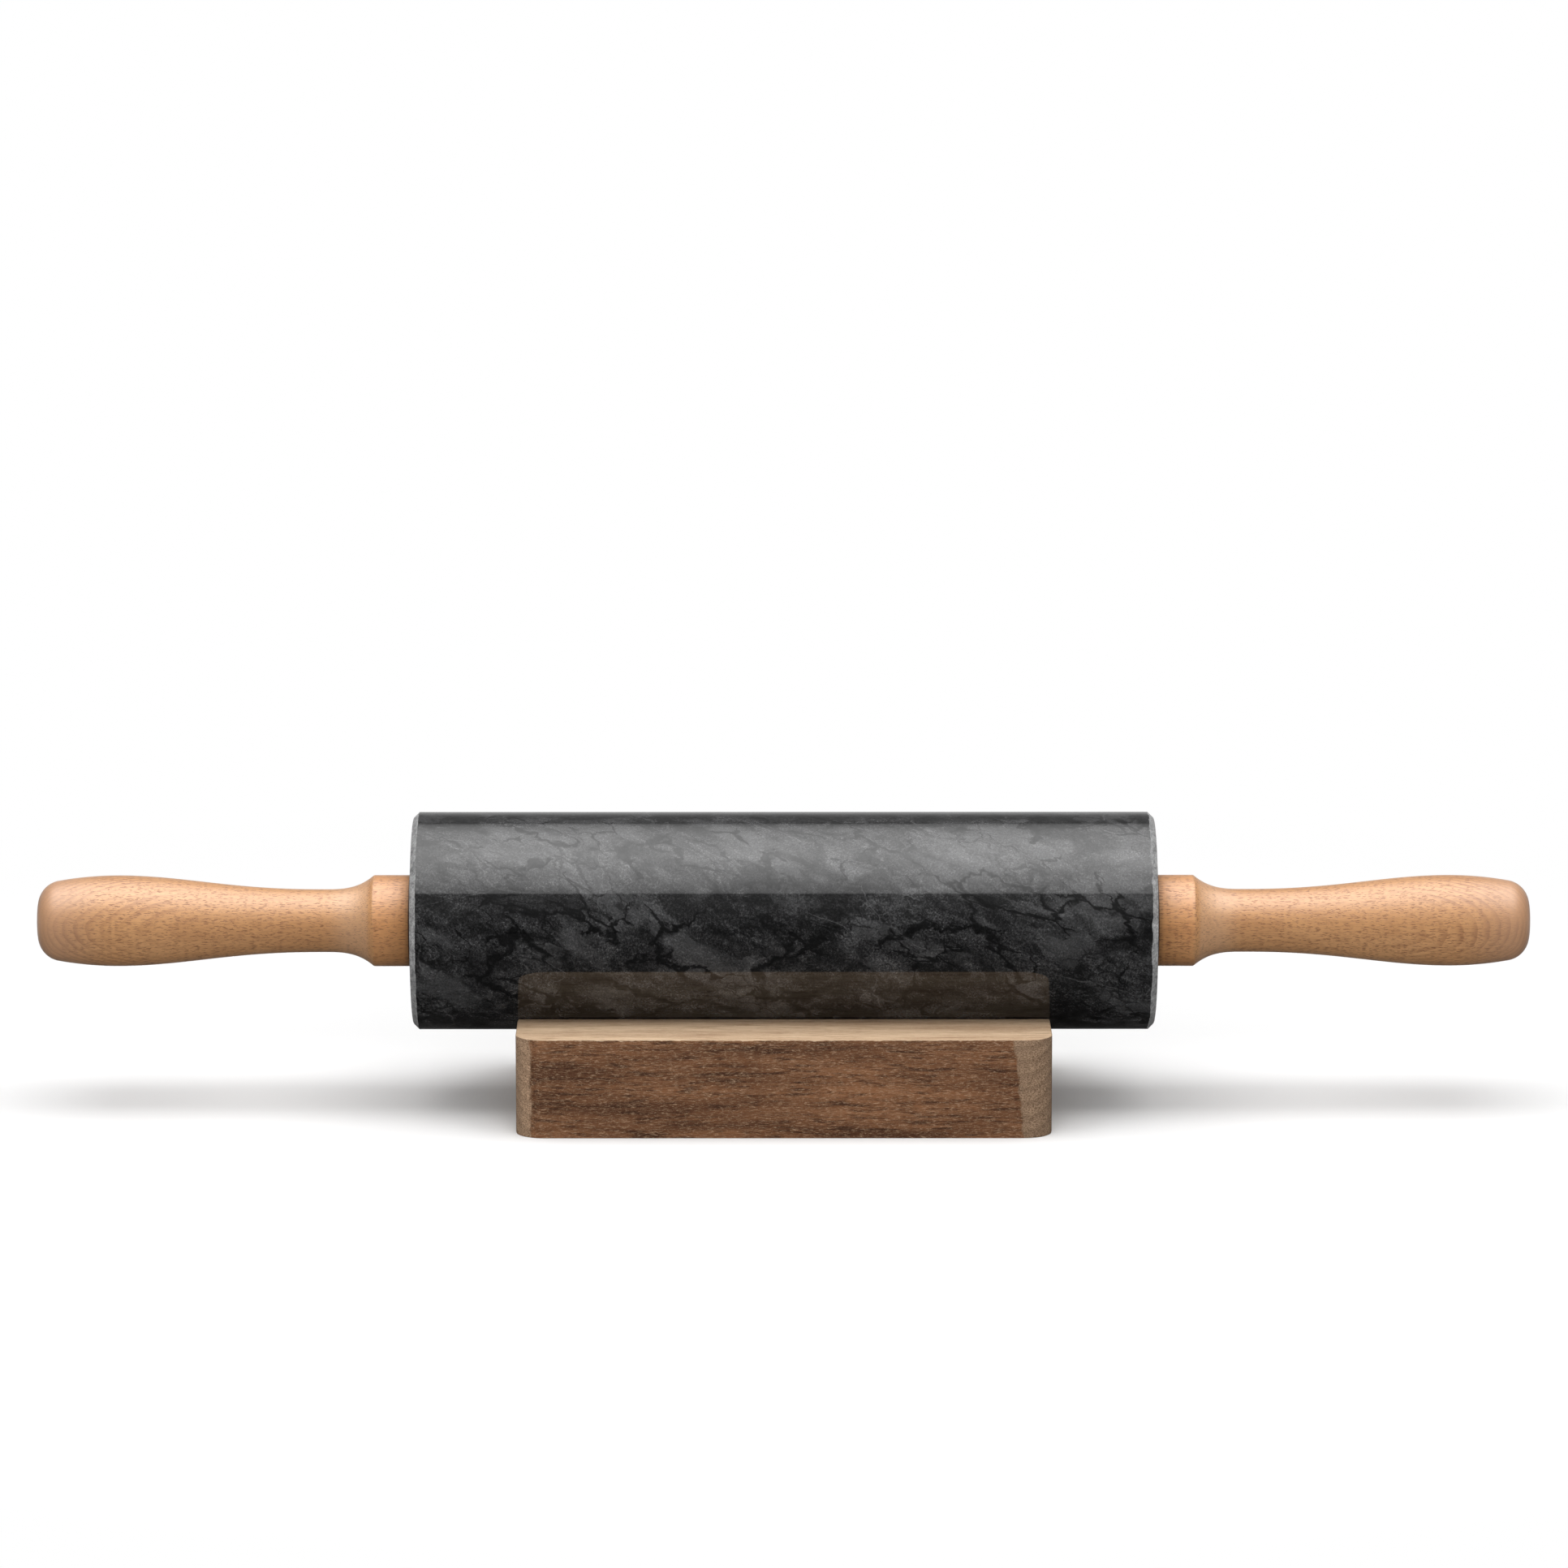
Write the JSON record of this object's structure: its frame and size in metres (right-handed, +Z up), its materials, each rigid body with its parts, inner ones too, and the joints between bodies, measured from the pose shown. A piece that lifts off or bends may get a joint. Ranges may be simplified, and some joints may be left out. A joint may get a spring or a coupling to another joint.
{
  "type": "rolling pin with cradle",
  "caption": "Marble rolling pin with turned wooden handles on a steel axle, lying in the groove of its own wooden cradle.",
  "frame": {"origin": "centre of the cradle's underside, where the set stands on the table", "axes": "+X along the pin, from the left handle to the right one; +Z up; -Y towards the cradle's front"},
  "size_m": [0.46, 0.1, 0.0905],
  "materials": {
    "marble": "polished dark marble with black veins and grey clouds",
    "beech": "turned beech, satin",
    "acacia": "planed acacia, oiled",
    "steel": "zinc plated steel",
    "brass": "turned brass",
    "bush_nylon": "moulded nylon",
    "washer_fibre": "black fibre"
  },
  "bodies": {
    "cradle": {"cradle": "acacia"},
    "handles": {"axle_rod": "steel", "left_thrust_washer": "washer_fibre", "right_thrust_washer": "washer_fibre", "left_lock_nut": "steel", "right_lock_nut": "steel", "left_threaded_insert": "brass", "right_threaded_insert": "brass", "left_handle": "beech", "right_handle": "beech"},
    "barrel": {"marble_barrel": "marble", "left_bearing_bush": "bush_nylon", "right_bearing_bush": "bush_nylon"}
  },
  "joints": [
    {"name": "lift_off", "type": "slide", "parent": "cradle", "child": "handles", "axis": [0, 0, 1], "range_m": [0, 0.1215]},
    {"name": "barrel_spin", "type": "hinge", "parent": "handles", "child": "barrel", "pos_m": [0, 0, 0.05699], "axis": [1, 0, 0], "continuous": true}
  ]
}
